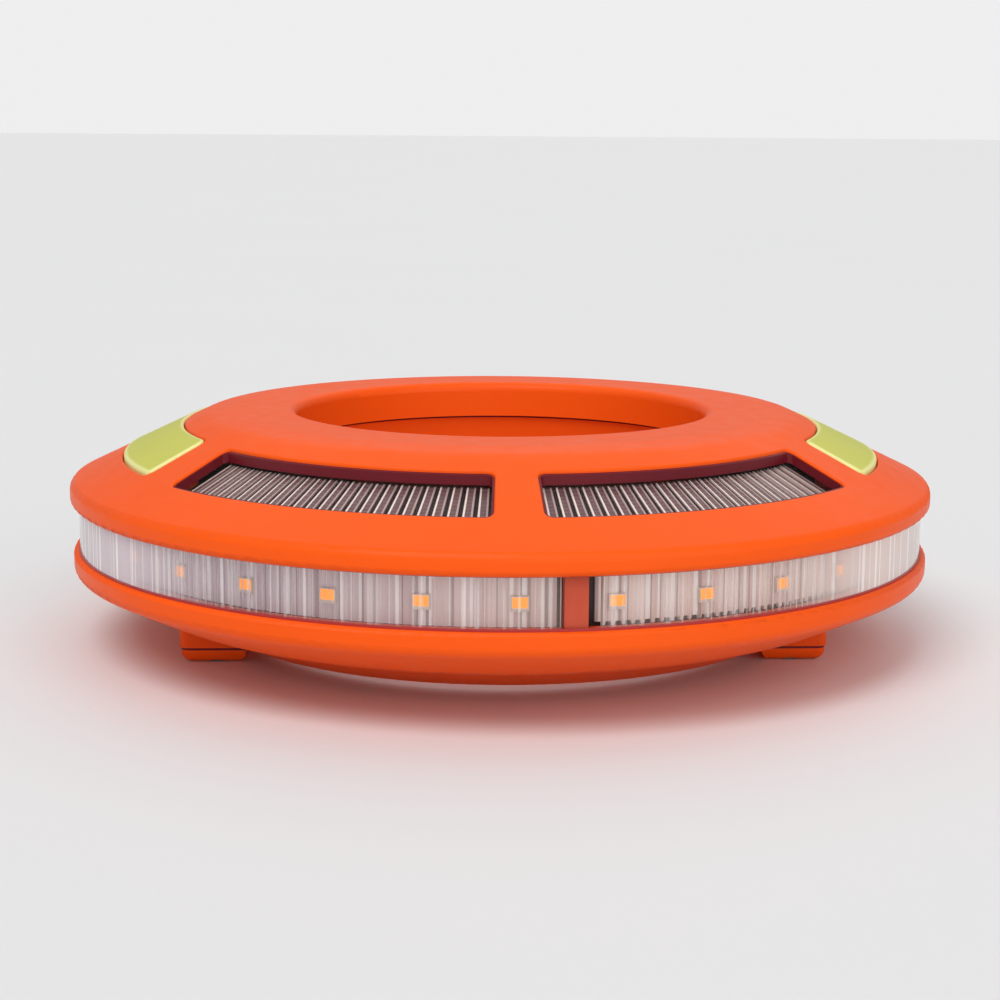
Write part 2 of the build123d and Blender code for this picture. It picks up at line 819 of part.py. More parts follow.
# ---------------------------------------------------------------- fasteners
def case_screws():
    """Ten screws that hold the housings together, driven from below."""
    pieces = []
    for azimuth in outer_screw_azimuths:
        length = case_joint_height + case_thread - outer_screw_head
        pieces.append(at(outer_screw_radius, azimuth, 0) * screw(outer_screw_head, length))
    for azimuth in inner_screw_azimuths:
        length = case_joint_height + case_thread - inner_screw_head()
        pieces.append(at(inner_screw_radius, azimuth, 0) * screw(inner_screw_head(), length))
    return group(pieces)


def cover_screws():
    """Four screws that hold the battery covers."""
    pieces = []
    for _, side in sides:
        for y in (-cover_screw_y, cover_screw_y):
            place = Rot(0, 0, side - 90) * Pos(cell_centre_x, y, 0)
            pieces.append(place * screw(cover_screw_seat(), plane_bottom + 9 - cover_screw_seat()))
    return group(pieces)


def board_screws():
    """Screws that hold the switch boards and the control board on their posts."""
    return group([place * board_screw(top + board_thickness) for place, top in board_post_places()])


# ---------------------------------------------------------------- all nodes
def build_nodes():
    """Every piece of the light by its node name."""
    nodes = {
        "top_housing": top_housing(),
        "bottom_housing": bottom_housing(),
        "right_lens": lens(0.0),
        "left_lens": lens(180.0),
        "upper_lens_seal": hoop(groove_inner, groove_outer, lens_high, groove_high),
        "lower_lens_seal": hoop(groove_inner, groove_outer, groove_low, lens_low),
        "throat_gasket": hoop(sleeve_top_radius, sleeve_top_radius + 1.6, sleeve_top, land_low),
        "led_carrier": hoop(carrier_inner_radius, carrier_outer_radius, carrier_low, carrier_high),
        "right_led_board": led_board(0.0),
        "left_led_board": led_board(180.0),
        "right_leds": leds(0.0),
        "left_leds": leds(180.0),
        "control_board": control_board(),
        "control_chips": control_chips(),
        "board_connectors": connectors(),
        "case_screws": case_screws(),
        "cover_screws": cover_screws(),
        "board_screws": board_screws(),
    }
    for index, quarter in enumerate(quarters):
        nodes[f"{quarter}_window_gasket"] = window_gasket(index)
        nodes[f"{quarter}_solar_window"] = window_glazing(index)
        nodes[f"{quarter}_solar_cells"] = solar_cells(index)
        nodes[f"{quarter}_solar_panel"] = solar_panel(index)
    for name, side in sides:
        nodes[f"{name}_button"] = button(side)
        nodes[f"{name}_button_springs"] = button_springs(side)
        nodes[f"{name}_switch_plunger"] = switch_plunger(side)
        nodes[f"{name}_tact_switch"] = tact_switch(side)
        nodes[f"{name}_switch_board"] = switch_board(side)
        nodes[f"{name}_battery"] = battery(side)
        nodes[f"{name}_battery_contacts"] = battery_contacts(side)
        nodes[f"{name}_battery_lead"] = battery_lead(side)
        nodes[f"{name}_battery_cover"] = battery_cover(side)
        nodes[f"{name}_cover_gasket"] = cover_gasket(side)
    return nodes


os.makedirs("parts", exist_ok=True)
for node_name, shape in build_nodes().items():
    export_step(shape, f"parts/{node_name}.step")
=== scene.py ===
import math
import bmesh
import bpy
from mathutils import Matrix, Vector


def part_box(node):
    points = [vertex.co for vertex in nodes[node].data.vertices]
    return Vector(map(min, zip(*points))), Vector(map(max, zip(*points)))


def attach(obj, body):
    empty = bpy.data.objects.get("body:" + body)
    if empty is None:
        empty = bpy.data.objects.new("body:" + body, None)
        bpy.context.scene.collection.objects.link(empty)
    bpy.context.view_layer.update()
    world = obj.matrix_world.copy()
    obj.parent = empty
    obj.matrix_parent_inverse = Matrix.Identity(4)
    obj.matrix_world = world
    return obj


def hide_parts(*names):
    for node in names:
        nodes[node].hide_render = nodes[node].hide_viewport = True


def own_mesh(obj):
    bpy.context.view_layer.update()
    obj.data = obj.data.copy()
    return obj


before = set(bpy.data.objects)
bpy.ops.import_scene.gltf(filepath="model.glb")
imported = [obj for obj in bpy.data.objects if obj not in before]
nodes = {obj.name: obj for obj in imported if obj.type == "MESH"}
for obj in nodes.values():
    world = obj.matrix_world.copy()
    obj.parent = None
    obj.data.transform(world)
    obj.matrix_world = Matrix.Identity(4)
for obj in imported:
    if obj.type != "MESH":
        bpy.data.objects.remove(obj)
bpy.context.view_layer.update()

# Ring warning light for a traffic cone. Metres, +Z up, the front is -Y. An azimuth is in degrees
# from the front, turning towards +X. The moulded parts, screws and electronics keep their solid
# shapes; the lens, seals, emitters, reflectors, solar cells and key springs are modelled here.
MM = 0.001


# ---------------------------------------------------------------- housings and battery covers
# Two dished shells in orange impact-modified polypropylene, injection moulded with a fine spark
# texture on the outside. Screws from below hold them together. The battery covers match.
ORANGE = (0.90, 0.092, 0.004)
ORANGE_PALE = (0.92, 0.118, 0.009)
ORANGE_SHINE = 0.12
MOULD_GRAIN = 1900.0         # texture spots per metre


def new_group(name, inputs, outputs):
    """Empty shader node group with named sockets."""
    group = bpy.data.node_groups.new(name, "ShaderNodeTree")
    for socket, kind, value in inputs:
        made = group.interface.new_socket(name=socket, in_out="INPUT", socket_type=kind)
        if value is not None:
            made.default_value = value
    for socket, kind in outputs:
        group.interface.new_socket(name=socket, in_out="OUTPUT", socket_type=kind)
    return group


def add_node(tree, kind, settings=None, **inputs):
    """Node with its settings and inputs: values or other nodes' outputs, by name or as i0, i1, ..."""
    node = tree.nodes.new(kind)
    for key, value in (settings or {}).items():
        setattr(node, key, value)
    for key, value in inputs.items():
        named = int(key[1:]) if key[1:].isdigit() else key.replace("_", " ")
        socket = node.inputs[named]
        if isinstance(value, bpy.types.NodeSocket):
            tree.links.new(value, socket)
        else:
            socket.default_value = value
    return node


def math_node(tree, operation, first, second=0.0, clamp=False):
    """Output of a Math node."""
    settings = {"operation": operation, "use_clamp": clamp}
    return add_node(tree, "ShaderNodeMath", settings, i0=first, i1=second).outputs[0]


def mix_colour(tree, factor, first, second):
    """Output of a colour mix."""
    node = add_node(tree, "ShaderNodeMix", {"data_type": "RGBA"})
    for index, value in ((0, factor), (6, first), (7, second)):
        if isinstance(value, bpy.types.NodeSocket):
            tree.links.new(value, node.inputs[index])
        else:
            node.inputs[index].default_value = value if index == 0 else (*value, 1.0)[:4]
    return node.outputs[2]


def moulded_surface_group():
    """Fine mould texture, slow colour drift and faint handling marks on any moulded plastic."""
    group = new_group("moulded_surface", (
        ("Colour", "NodeSocketColor", (0.5, 0.5, 0.5, 1.0)),
        ("Pale Colour", "NodeSocketColor", (0.6, 0.6, 0.6, 1.0)),
        ("Drift", "NodeSocketFloat", 0.5),
        ("Grain Scale", "NodeSocketFloat", MOULD_GRAIN),
        ("Roughness", "NodeSocketFloat", 0.4),
    ), (("Colour", "NodeSocketColor"), ("Roughness", "NodeSocketFloat"), ("Height", "NodeSocketFloat")))
    inside = group.nodes.new("NodeGroupInput").outputs
    place = add_node(group, "ShaderNodeTexCoord").outputs["Object"]
    drift = add_node(group, "ShaderNodeTexNoise", Vector=place, Scale=22.0, Detail=3.0).outputs[0]
    grain = add_node(group, "ShaderNodeTexNoise", Vector=place, Scale=inside["Grain Scale"], Detail=2.0)
    marks = add_node(group, "ShaderNodeTexNoise", Vector=place, Scale=160.0, Detail=4.0).outputs[0]
    share = math_node(group, "MULTIPLY", drift, inside["Drift"])
    colour = mix_colour(group, share, inside["Colour"], inside["Pale Colour"])
    rough = math_node(group, "MULTIPLY", math_node(group, "SUBTRACT", marks, 0.5), 0.22)
    rough = math_node(group, "ADD", inside["Roughness"], rough)
    outside = group.nodes.new("NodeGroupOutput")
    group.links.new(colour, outside.inputs["Colour"])
    group.links.new(rough, outside.inputs["Roughness"])
    group.links.new(grain.outputs[0], outside.inputs["Height"])
    return group


moulded_surface = moulded_surface_group()


def new_material(name, **values):
    """Material with a Principled BSDF whose plain sockets are set."""
    material = bpy.data.materials.new(name)
    material.use_nodes = True
    shader = material.node_tree.nodes["Principled BSDF"]
    for key, value in values.items():
        shader.inputs[key.replace("_", " ")].default_value = value
    return material, material.node_tree, shader


def bump(tree, shader, height, depth, strength=0.5):
    """Bump from a height that varies over the surface."""
    node = add_node(tree, "ShaderNodeBump", Height=height, Distance=depth, Strength=strength)
    tree.links.new(node.outputs[0], shader.inputs["Normal"])


def moulded(name, colour, pale, roughness=0.4, drift=0.5, grain=MOULD_GRAIN, depth=0.00006, **values):
    """Moulded plastic or rubber."""
    material, tree, shader = new_material(name, **values)
    surface = add_node(tree, "ShaderNodeGroup", {"node_tree": moulded_surface})
    surface.inputs["Colour"].default_value = (*colour, 1.0)
    surface.inputs["Pale Colour"].default_value = (*pale, 1.0)
    surface.inputs["Drift"].default_value = drift
    surface.inputs["Grain Scale"].default_value = grain
    surface.inputs["Roughness"].default_value = roughness
    tree.links.new(surface.outputs["Colour"], shader.inputs["Base Color"])
    tree.links.new(surface.outputs["Roughness"], shader.inputs["Roughness"])
    bump(tree, shader, surface.outputs["Height"], depth)
    return material


def finish_node(name, material):
    """Gives a solid that keeps its shape its material."""
    mesh = nodes[name].data
    mesh.materials.clear()
    mesh.materials.append(material)
    for face in mesh.polygons:
        face.material_index = 0


orange_plastic = moulded("orange_plastic", ORANGE, ORANGE_PALE, 0.40, Specular_IOR_Level=ORANGE_SHINE)
for node_name in ("top_housing", "left_battery_cover", "right_battery_cover"):
    finish_node(node_name, orange_plastic)


# ---------------------------------------------------------------- seals
# Dark red silicone. Two rings hold the lens in its grooves, and a thin lip of each shows along
# the edge of the lens. A flat ring seals the throat, and frames line the window openings.
SEAL_RED = (0.34, 0.014, 0.014)
SEAL_RED_PALE = (0.46, 0.030, 0.026)
FRAME_RED = (0.120, 0.004, 0.010)
FRAME_RED_PALE = (0.20, 0.012, 0.020)
SEAL_LIP_LOW = 0.8 * MM      # how far the lower lip stands into the lens opening
SEAL_LIP_HIGH = 0.25 * MM
LENS_GRIP = 2.0 * MM         # from a seal to the edge of the lens opening
SEAL_CLEARANCE = 0.02 * MM   # between the lips and the lens
SPIN_STEPS = 240
MERGE_DISTANCE = 0.005 * MM


def start_mesh(name, place):
    """New mesh, left in edit mode, that holds one vertex at a place."""
    bpy.ops.object.select_all(action="DESELECT")
    bpy.ops.mesh.primitive_plane_add(size=MM)
    piece = bpy.context.object
    piece.name = piece.data.name = name
    bpy.ops.object.mode_set(mode="EDIT")
    bpy.ops.mesh.select_all(action="SELECT")
    bpy.ops.mesh.merge(type="CENTER")
    bpy.ops.transform.translate(value=place)
    return piece


def ring_point(radius, azimuth, height):
    """Point from its radius, azimuth and height."""
    angle = math.radians(azimuth)
    return Vector((radius * math.sin(angle), -radius * math.cos(angle), height))


def lathe(name, outline, first=0.0, span=360.0, steps=SPIN_STEPS):
    """Closed outline of (radius, height) spun about the ring's axis, left in edit mode."""
    points = [ring_point(radius, first, height) for radius, height in outline]
    piece = start_mesh(name, points[0])
    for here, there in zip(points, points[1:]):
        bpy.ops.mesh.extrude_vertices_move(TRANSFORM_OT_translate={"value": there - here})
    bpy.ops.mesh.select_all(action="SELECT")
    bpy.ops.mesh.edge_face_add()
    whole = span >= 360.0
    if whole:
        bpy.ops.mesh.delete(type="ONLY_FACE")
        bpy.ops.mesh.select_all(action="SELECT")
    turn = math.radians(span)
    bpy.ops.mesh.spin(steps=steps, angle=turn, center=(0, 0, 0), axis=(0, 0, -1), use_auto_merge=whole)
    bpy.ops.mesh.select_all(action="SELECT")
    bpy.ops.mesh.remove_doubles(threshold=MERGE_DISTANCE)
    bpy.ops.mesh.normals_make_consistent(inside=False)
    return piece


def leave(piece, material, smooth=40.0):
    """Leaves edit mode, smooths the shading between gentle edges and sets the material."""
    bpy.ops.object.mode_set(mode="OBJECT")
    bpy.ops.object.shade_smooth_by_angle(angle=math.radians(smooth))
    piece.data.materials.clear()
    piece.data.materials.append(material)
    return piece


def settle(piece, body, slot, *stands_for):
    """Puts a piece on the body it rides on and hides the solids it stands for. The slot is not used."""
    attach(piece, body)
    if stands_for:
        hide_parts(*stands_for)


def radius_range(name):
    """Least and greatest radius of a solid."""
    radii = [math.hypot(v.co.x, v.co.y) for v in nodes[name].data.vertices]
    return min(radii), max(radii)


def azimuth_range(name):
    """Least and greatest azimuth of a solid that doesn't cross the front."""
    angles = [math.degrees(math.atan2(v.co.x, -v.co.y)) % 360 for v in nodes[name].data.vertices]
    return min(angles), max(angles)


seal_rubber = moulded("seal_rubber", SEAL_RED, SEAL_RED_PALE, 0.33, 0.6, 900.0, 0.00004)
frame_rubber = moulded("frame_rubber", FRAME_RED, FRAME_RED_PALE, 0.38, 0.6, 900.0, 0.00004,
                       Specular_IOR_Level=0.25)
lens_outer = radius_range("right_lens")[1]
seal_inner, seal_outer = radius_range("lower_lens_seal")
band_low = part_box("lower_lens_seal")[1].z + LENS_GRIP
band_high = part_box("upper_lens_seal")[0].z - LENS_GRIP
for ring_name, lip_edge, upper in (
    ("lower_lens_seal", band_low + SEAL_LIP_LOW, False),
    ("upper_lens_seal", band_high - SEAL_LIP_HIGH, True),
):
    low, high = (corner.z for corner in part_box(ring_name))
    base, face = (high, low) if upper else (low, high)
    ring = lathe(ring_name.replace("_seal", "_seal_ring"), (
        (seal_inner, base),
        (seal_outer, base),
        (seal_outer, lip_edge),
        (lens_outer + SEAL_CLEARANCE, lip_edge),
        (lens_outer + SEAL_CLEARANCE, face),
        (seal_inner, face),
    ))
    leave(ring, seal_rubber)
    settle(ring, "housing", "seal", ring_name)
for node_name in sorted(nodes):
    if node_name.endswith("_gasket"):
        finish_node(node_name, frame_rubber)


# ---------------------------------------------------------------- lens halves
# Clear polycarbonate band in two halves, smooth outside and with fine upright flutes moulded
# inside. Each half stops short of the orange posts and is held in the grooves by the seals.
FLUTE_PITCH = 1.0            # degrees
FLUTE_DEPTH = 0.45 * MM
FLUTE_STEPS = 6
LENS_TINT = (0.78, 0.64, 0.59)
LENS_LINE = (0.96, 0.91, 0.89)
# Painted light: a cool lavender tint towards the left of the lens band and reflector strips.
PAINTED_LAVENDER_LIGHT = (0.52, 0.48, 0.62)
PAINTED_LAVENDER_SHARE = 0.50        # how far painted lavender light tints the band towards the left
CLEAR_VEIL = 0.08            # how much the clear plastic hides between its light lines
LINE_VEIL = 0.14             # how much more it hides along them
EDGE_VEIL = 0.90             # how much it hides where the flutes are seen edge-on
EDGE_VEIL_FROM = 0.24        # share of the turn away from the eye where that starts
EDGE_VEIL_FULL = 0.56        # and where it is full


def ring_position_group():
    """Azimuth in degrees, radius and height in millimetres, round the ring's axis."""
    group = new_group("ring_position", (), (
        ("Azimuth", "NodeSocketFloat"), ("Radius", "NodeSocketFloat"), ("Height", "NodeSocketFloat")))
    place = add_node(group, "ShaderNodeTexCoord").outputs["Object"]
    axes = add_node(group, "ShaderNodeSeparateXYZ", Vector=place).outputs
    back = math_node(group, "MULTIPLY", axes["Y"], -1.0)
    angle = math_node(group, "ARCTAN2", axes["X"], back)
    flat = add_node(group, "ShaderNodeCombineXYZ", X=axes["X"], Y=axes["Y"]).outputs[0]
    length = add_node(group, "ShaderNodeVectorMath", {"operation": "LENGTH"}, i0=flat).outputs["Value"]
    outside = group.nodes.new("NodeGroupOutput")
    group.links.new(math_node(group, "DEGREES", angle), outside.inputs["Azimuth"])
    group.links.new(math_node(group, "MULTIPLY", length, 1 / MM), outside.inputs["Radius"])
    group.links.new(math_node(group, "MULTIPLY", axes["Z"], 1 / MM), outside.inputs["Height"])
    return group


ring_position = ring_position_group()


def streaks_group():
    """Masks of upright lines of uneven width round the ring: painted highlight lines (Light), painted
    shade lines (Dark) and a soft uneven tone (Soft).
    """
    group = new_group("upright_streaks", (
        ("Fineness", "NodeSocketFloat", 1.0),
        ("Offset", "NodeSocketFloat", 0.0),
    ), (("Light", "NodeSocketFloat"), ("Dark", "NodeSocketFloat"), ("Soft", "NodeSocketFloat")))
    inside = group.nodes.new("NodeGroupInput").outputs
    position = add_node(group, "ShaderNodeGroup", {"node_tree": ring_position}).outputs
    along = math_node(group, "MULTIPLY", position["Azimuth"], inside["Fineness"])
    along = math_node(group, "ADD", along, inside["Offset"])
    outside = group.nodes.new("NodeGroupOutput")
    for label, scale, shift, low, high in (
        ("Light", 1.35, 11.0, 0.58, 0.62),
        ("Dark", 1.45, 47.0, 0.58, 0.63),
        ("Soft", 0.32, 83.0, 0.30, 0.70),
    ):
        line = math_node(group, "ADD", along, shift)
        noise = add_node(group, "ShaderNodeTexNoise", {"noise_dimensions": "1D"},
                         W=line, Scale=scale, Detail=1.0)
        ramp = add_node(group, "ShaderNodeMapRange", i0=noise.outputs[0], i1=low, i2=high)
        group.links.new(ramp.outputs[0], outside.inputs[label])
    return group


upright_streaks = streaks_group()


def painted_cool_light(tree, colour):
    """The colour, tinted by painted lavender light round the left of the ring."""
    place = add_node(tree, "ShaderNodeTexCoord").outputs["Object"]
    axes = add_node(tree, "ShaderNodeSeparateXYZ", Vector=place).outputs
    side = math_node(tree, "DIVIDE", axes["X"], lens_outer)
    share = add_node(tree, "ShaderNodeMapRange", i0=side, i1=0.1, i2=-0.55, i3=0.0, i4=PAINTED_LAVENDER_SHARE)
    return mix_colour(tree, share.outputs[0], colour, PAINTED_LAVENDER_LIGHT)


def clear_band():
    """Clear polycarbonate with faint streaks where the flutes catch the light."""
    material, tree, shader = new_material("clear_polycarbonate", Roughness=0.08, IOR=1.58)
    streaks = add_node(tree, "ShaderNodeGroup", {"node_tree": upright_streaks},
                       Fineness=0.9, Offset=5.0)
    colour = mix_colour(tree, streaks.outputs["Light"], painted_cool_light(tree, LENS_TINT), LENS_LINE)
    tree.links.new(colour, shader.inputs["Base Color"])
    edge_on = add_node(tree, "ShaderNodeLayerWeight", Blend=0.5).outputs["Facing"]
    edge_veil = add_node(tree, "ShaderNodeMapRange", i0=edge_on, i1=EDGE_VEIL_FROM, i2=EDGE_VEIL_FULL,
                         i3=0.0, i4=EDGE_VEIL).outputs[0]
    line_veil = math_node(tree, "MULTIPLY", streaks.outputs["Light"], LINE_VEIL)
    veil = math_node(tree, "ADD", line_veil, CLEAR_VEIL)
    tree.links.new(math_node(tree, "MAXIMUM", veil, edge_veil), shader.inputs["Alpha"])
    return material


def flute(piece, inner, first, depth):
    """Moves the vertices near the inner radius outwards into half-round flutes."""
    for vertex in piece.data.vertices:
        radius = math.hypot(vertex.co.x, vertex.co.y)
        if radius < inner + depth:
            azimuth = math.degrees(math.atan2(vertex.co.x, -vertex.co.y)) % 360
            wave = abs(math.sin(math.pi * (azimuth - first) / FLUTE_PITCH))
            grown = (radius + depth * (1 - wave)) / radius
            vertex.co.x *= grown
            vertex.co.y *= grown


lens_plastic = clear_band()
lens_inner = radius_range("right_lens")[0]
lens_low, lens_high = (corner.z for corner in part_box("right_lens"))
lens_first, lens_last = azimuth_range("right_lens")
lens_span = lens_last - lens_first
for half_name, turn in (("right_lens", 0.0), ("left_lens", 180.0)):
    band = lathe(half_name.replace("_lens", "_lens_band"), (
        (lens_inner, lens_low),
        (lens_outer, lens_low),
        (lens_outer, (lens_low + lens_high) / 2),
        (lens_outer, lens_high),
        (lens_inner, lens_high),
    ), lens_first + turn, lens_span, round(lens_span / FLUTE_PITCH) * FLUTE_STEPS)
    leave(band, lens_plastic, 50.0)
    flute(band, lens_inner, lens_first + turn, FLUTE_DEPTH)
    settle(band, "housing", "lens", half_name)


# ---------------------------------------------------------------- uprights
# Two uprights, moulded with the bottom housing, close the gaps between the lens halves. Their
# duller, redder orange is painted shade. The housing keeps its solid shape.
UPRIGHT_PAINTED_SHADE = (0.50, 0.072, 0.036)
UPRIGHT_PAINTED_SHADE_PALE = (0.56, 0.095, 0.050)
UPRIGHT_FROM = 120.0         # millimetres from the axis, which leaves out the sleeve
UPRIGHT_FOOT = band_low + 0.1 * MM
UPRIGHT_HEAD = band_high + 1.0 * MM


def lower_plastic():
    """The orange plastic, with painted shade in a duller red on the uprights only."""
    material = moulded("orange_plastic_lower", ORANGE, ORANGE_PALE, 0.40,
                       Specular_IOR_Level=ORANGE_SHINE)
    tree = material.node_tree
    shader = tree.nodes["Principled BSDF"]
    position = add_node(tree, "ShaderNodeGroup", {"node_tree": ring_position}).outputs
    above = math_node(tree, "GREATER_THAN", position["Height"], UPRIGHT_FOOT / MM)
    below = math_node(tree, "LESS_THAN", position["Height"], UPRIGHT_HEAD / MM)
    outside = math_node(tree, "GREATER_THAN", position["Radius"], UPRIGHT_FROM)
    share = math_node(tree, "MULTIPLY", math_node(tree, "MULTIPLY", above, below), outside)
    place = add_node(tree, "ShaderNodeTexCoord").outputs["Object"]
    cloud = add_node(tree, "ShaderNodeTexNoise", Vector=place, Scale=300.0, Detail=2.0).outputs[0]
    # painted shade: the duller red laid over the uprights
    red = mix_colour(tree, cloud, UPRIGHT_PAINTED_SHADE, UPRIGHT_PAINTED_SHADE_PALE)
    surface = shader.inputs["Base Color"].links[0].from_socket
    tree.links.new(mix_colour(tree, share, surface, red), shader.inputs["Base Color"])
    return material


finish_node("bottom_housing", lower_plastic())


# ---------------------------------------------------------------- reflector strips
# Each half-round strip board is covered by a ribbed white reflector strip, vacuum formed, that
# spreads the light. The ribs are upright and uneven, and the emitters stand in front of them.
# Its bright and dark upright lines are painted highlight and painted shade, and its faint glow is painted
# light.
RIB_PITCH = 1.0              # degrees
RIB_DEPTH = 0.55 * MM
RIB_STEPS = 8
NOTCH_PITCH = 1.3            # degrees
NOTCH_WIDTH = 0.8
NOTCH_RISE = 0.4 * MM        # above the edge of the opening
REFLECTOR = (0.72, 0.55, 0.50)
REFLECTOR_PALE = (0.87, 0.73, 0.67)
REFLECTOR_PAINTED_HIGHLIGHT = (0.97, 0.95, 0.94)
REFLECTOR_PAINTED_SHADE = (0.20, 0.14, 0.15)
PAINTED_SHADE_SHARE = 0.55            # how dark its painted shade lines get
CARRIER = (0.030, 0.010, 0.010)
CARRIER_PALE = (0.05, 0.02, 0.018)


def reflector_material():
    """Semi-gloss reflector film with upright painted highlight and painted shade lines, and a faint
    painted glow.
    """
    # The faint emission is painted light: the film is no lamp.
    material, tree, shader = new_material("reflector_film", Roughness=0.3, Emission_Strength=0.14)
    streaks = add_node(tree, "ShaderNodeGroup", {"node_tree": upright_streaks}, Fineness=0.9).outputs
    body = painted_cool_light(tree, mix_colour(tree, streaks["Soft"], REFLECTOR, REFLECTOR_PALE))
    # painted shade lines, then painted highlight lines
    body = mix_colour(tree, math_node(tree, "MULTIPLY", streaks["Dark"], PAINTED_SHADE_SHARE), body, REFLECTOR_PAINTED_SHADE)
    colour = mix_colour(tree, streaks["Light"], body, REFLECTOR_PAINTED_HIGHLIGHT)
    tree.links.new(colour, shader.inputs["Base Color"])
    tree.links.new(colour, shader.inputs["Emission Color"])
    return material


def rib(piece, outer, first, depth):
    """Pushes the front of the strip back between its upright ribs."""
    for vertex in piece.data.vertices:
        radius = math.hypot(vertex.co.x, vertex.co.y)
        if radius > outer - 0.1 * MM:
            azimuth = math.degrees(math.atan2(vertex.co.x, -vertex.co.y)) % 360
            place = (azimuth - first) / RIB_PITCH
            uneven = 0.55 + 0.45 * math.sin(2.4 * place) * math.sin(0.83 * place + 1.0)
            kept = (radius - depth * uneven * (1 - abs(math.sin(math.pi * place)))) / radius
            vertex.co.x *= kept
            vertex.co.y *= kept


def notch(piece, low, first):
    """Lifts the lower edge of the strip over each of its notches."""
    for vertex in piece.data.vertices:
        azimuth = math.degrees(math.atan2(vertex.co.x, -vertex.co.y)) % 360
        if vertex.co.z < low + 0.01 * MM and (azimuth - first) % NOTCH_PITCH < NOTCH_WIDTH:
            vertex.co.z = band_low + NOTCH_RISE


reflector_film = reflector_material()
finish_node("led_carrier", moulded("dark_moulding", CARRIER, CARRIER_PALE, 0.45))
board_inner, board_outer = radius_range("right_led_board")
board_low, board_high = (corner.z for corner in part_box("right_led_board"))
board_first, board_last = azimuth_range("right_led_board")
board_span = board_last - board_first
for strip_name, turn in (("right_led_board", 0.0), ("left_led_board", 180.0)):
    strip = lathe(strip_name.replace("_led_board", "_reflector_strip"), (
        (board_inner, board_low),
        (board_outer, board_low),
        (board_outer, (board_low + board_high) / 2),
        (board_outer, board_high),
        (board_inner, board_high),
    ), board_first + turn, board_span, round(board_span / RIB_PITCH) * RIB_STEPS)
    leave(strip, reflector_film, 50.0)
    rib(strip, board_outer, board_first + turn, RIB_DEPTH)
    if not turn:
        notch(strip, board_low, board_first)
    settle(strip, "housing", "led_board", strip_name)


# ---------------------------------------------------------------- emitters
# Thirty surface-mounted amber emitters, every twelve degrees: a square white package, open in
# front, filled with amber silicone. They are soldered to the strip boards.
LED_PITCH = 12.0
LED_COUNT = 15               # on each strip
LED_WIDTH = 5.0 * MM
LED_HEIGHT = 4.3 * MM
LED_BORDER = 0.22 * MM
LED_FOOT = 0.85 * MM         # pale package showing under the amber face
LED_ROUNDING = 0.12 * MM
LED_RECESS = 0.25 * MM       # how far the amber fill lies behind the front of the package
PACKAGE = (0.88, 0.80, 0.68)
PACKAGE_PALE = (0.93, 0.87, 0.78)
AMBER = (0.95, 0.25, 0.0)
AMBER_PALE = (0.98, 0.34, 0.004)


def select_faces(piece, test):
    """In edit mode, selects only the faces whose middle and normal pass a test."""
    bpy.ops.mesh.select_mode(type="FACE")
    bpy.ops.mesh.select_all(action="DESELECT")
    mesh = bmesh.from_edit_mesh(piece.data)
    for face in mesh.faces:
        face.select_set(test(face.calc_center_median(), face.normal))
    bmesh.update_edit_mesh(piece.data)


def amber_silicone():
    """Translucent amber fill with a brighter middle, and a faint glow that is painted light: the emitters
    are not lit.
    """
    # painted light: the unlit amber fill glows
    material, tree, shader = new_material("amber_silicone", Roughness=0.35, Emission_Strength=0.75)
    place = add_node(tree, "ShaderNodeTexCoord").outputs["Object"]
    noise = add_node(tree, "ShaderNodeTexNoise", Vector=place, Scale=700.0, Detail=2.0).outputs[0]
    colour = mix_colour(tree, noise, AMBER, AMBER_PALE)
    tree.links.new(colour, shader.inputs["Base Color"])
    tree.links.new(colour, shader.inputs["Emission Color"])
    return material


package_white = moulded("emitter_package", PACKAGE, PACKAGE_PALE, 0.35, 0.5, 3000.0)
amber_fill = amber_silicone()
led_back, led_front = radius_range("right_leds")
led_level = sum(corner.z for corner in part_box("right_leds")) / 2
for leds_name, first_led in (("right_leds", LED_PITCH), ("left_leds", LED_PITCH + 180.0)):
    bpy.ops.object.select_all(action="DESELECT")
    middle = ring_point((led_back + led_front) / 2, first_led, led_level)
    bpy.ops.mesh.primitive_cube_add(size=1.0, location=middle,
                                    rotation=(0, 0, math.radians(first_led - 90)))
    emitter = bpy.context.object
    emitter.name = emitter.data.name = leds_name.replace("_leds", "_emitters")
    emitter.scale = (led_front - led_back, LED_WIDTH, LED_HEIGHT)
    bpy.ops.object.transform_apply(location=True, rotation=True, scale=True)
    emitter.data.materials.append(package_white)
    emitter.data.materials.append(amber_fill)
    outwards = ring_point(1.0, first_led, 0.0)
    bpy.ops.object.mode_set(mode="EDIT")
    bpy.ops.mesh.select_all(action="SELECT")
    bpy.ops.mesh.bevel(offset=LED_ROUNDING, segments=2)
    select_faces(emitter, lambda centre, normal: normal.dot(outwards) > 0.99)
    bpy.ops.mesh.inset(thickness=LED_BORDER)
    face_top = ring_point(led_front, first_led, led_level + LED_HEIGHT / 2 - LED_BORDER)
    face_share = 1 - (LED_FOOT - LED_BORDER) / (LED_HEIGHT - 2 * LED_BORDER)
    bpy.ops.transform.resize(value=(1, 1, face_share), center_override=tuple(face_top))
    bpy.ops.mesh.extrude_region_move(TRANSFORM_OT_translate={"value": -LED_RECESS * outwards})
    bpy.ops.object.mode_set(mode="OBJECT")
    for face in emitter.data.polygons:
        face.material_index = int(face.select)
    bpy.ops.object.mode_set(mode="EDIT")
    bpy.ops.mesh.select_mode(type="VERT")
    bpy.ops.mesh.select_all(action="SELECT")
    bpy.ops.mesh.spin(steps=LED_COUNT - 1, angle=math.radians(LED_PITCH * (LED_COUNT - 1)),
                      center=(0, 0, 0), axis=(0, 0, -1), dupli=True)
    bpy.ops.object.mode_set(mode="OBJECT")
    bpy.ops.object.shade_smooth_by_angle(angle=math.radians(30))
    settle(emitter, "housing", "led", leds_name)
